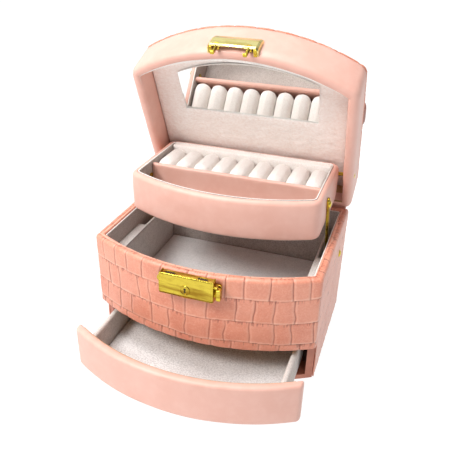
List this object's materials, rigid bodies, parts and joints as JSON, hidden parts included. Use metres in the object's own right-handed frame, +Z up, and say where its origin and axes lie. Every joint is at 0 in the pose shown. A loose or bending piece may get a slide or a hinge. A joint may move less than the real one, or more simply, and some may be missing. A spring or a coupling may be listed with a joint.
{
  "type": "jewellery chest with drawer",
  "caption": "Bow-fronted leather-covered jewellery chest with a hinged mirror lid, a lift-up ring tray on side links, and one curved drawer under a small lock.",
  "frame": {"origin": "centre of the underside, midway along the straight side walls", "axes": "+Z up, -Y towards the curved front with the drawer, +X to the right as seen from the front; stored with the lid open and the drawer part open"},
  "size_m": [0.178, 0.2122, 0.2375],
  "materials": {
    "croc_leather": "glossy embossed reptile grain, salmon pink",
    "smooth_leather": "satin fine grain, pale peach pink",
    "velvet": "short-pile taupe grey velvet",
    "cream_velvet": "short-pile cream velvet",
    "board": "raw fibreboard",
    "foam": "open-cell foam",
    "guide_wood": "stained hardwood",
    "gold_metal": "polished yellow gold plate",
    "spring_steel": "bright wire",
    "mirror_glass": "silvered glass"
  },
  "bodies": {
    "case": {"case_bottom_board": "board", "case_back_board": "board", "case_side_board_left": "board", "case_side_board_right": "board", "case_front_board": "board", "case_deck_board": "board", "case_cover_leather": "croc_leather", "case_back_leather": "croc_leather", "hinge_strip": "smooth_leather", "well_liner_left": "velvet", "well_liner_right": "velvet", "well_liner_back": "velvet", "well_liner_front": "velvet", "well_floor_pad": "velvet", "link_cover_left": "velvet", "link_cover_right": "velvet", "drawer_guide_left": "guide_wood", "drawer_guide_right": "guide_wood", "lock_back_plate": "gold_metal", "lock_case": "gold_metal", "lock_pins": "gold_metal", "link_rivet_case_left": "gold_metal", "link_rivet_case_right": "gold_metal", "latch_spring": "spring_steel"},
    "latch": {"latch_slide": "gold_metal"},
    "plug": {"lock_plug": "gold_metal"},
    "link_left": {"link_arm_left": "gold_metal"},
    "link_right": {"link_arm_right": "gold_metal"},
    "lid": {"lid_top_board": "board", "lid_top_foam": "foam", "lid_side_board_left": "board", "lid_side_board_right": "board", "lid_front_board": "board", "lid_back_board": "board", "lid_band_leather": "smooth_leather", "lid_top_leather": "croc_leather", "lid_lining_panel": "velvet", "lid_pivot_pin_left": "gold_metal", "lid_pivot_pin_right": "gold_metal", "mirror_glass": "mirror_glass", "hasp_plate": "gold_metal", "handle_strap": "smooth_leather"},
    "tray": {"tray_frame": "board", "tray_bottom_board": "board", "tray_leather": "smooth_leather", "tray_divider": "smooth_leather", "tray_liner": "velvet", "tray_floor_pad": "velvet", "ring_rolls": "cream_velvet", "ring_back_strip": "cream_velvet", "link_rivet_tray_left": "gold_metal", "link_rivet_tray_right": "gold_metal"},
    "drawer": {"drawer_front_board": "board", "drawer_front_leather": "smooth_leather", "drawer_side_left": "velvet", "drawer_side_right": "velvet", "drawer_back": "velvet", "drawer_bottom": "board", "drawer_floor_pad": "velvet"}
  },
  "joints": [
    {"name": "lid_hinge", "type": "hinge", "parent": "case", "child": "lid", "pos_m": [0, 0.058, 0.095], "axis": [1, 0, 0], "range_deg": [0, 67]},
    {"name": "tray_pivot", "type": "hinge", "parent": "lid", "child": "tray", "pos_m": [0, 0.05502, 0.12633], "axis": [1, 0, 0], "range_deg": [-67, 0]},
    {"name": "link_left_pivot", "type": "hinge", "parent": "case", "child": "link_left", "pos_m": [-0.077, 0.024, 0.0698], "axis": [1, 0, 0], "range_deg": [0, 36.81]},
    {"name": "link_right_pivot", "type": "hinge", "parent": "case", "child": "link_right", "pos_m": [0.077, 0.024, 0.0698], "axis": [1, 0, 0], "range_deg": [0, 36.81]},
    {"name": "drawer_slide", "type": "slide", "parent": "case", "child": "drawer", "axis": [0, -1, 0], "range_m": [-0.04, 0.045]},
    {"name": "latch_push", "type": "slide", "parent": "case", "child": "latch", "axis": [-1, 0, 0], "range_m": [0, 0.0015], "stiffness_N_per_m": 200, "springref_m": -0.002},
    {"name": "key_turn", "type": "hinge", "parent": "case", "child": "plug", "pos_m": [0, -0.085, 0.086], "axis": [0, 1, 0], "range_deg": [0, 90]}
  ],
  "couplings": [
    {"joint": "tray_pivot", "follows": "lid_hinge", "ratio": -1},
    {"joint": "link_left_pivot", "follows": "lid_hinge", "ratio": 0.5493},
    {"joint": "link_right_pivot", "follows": "lid_hinge", "ratio": 0.5493}
  ]
}
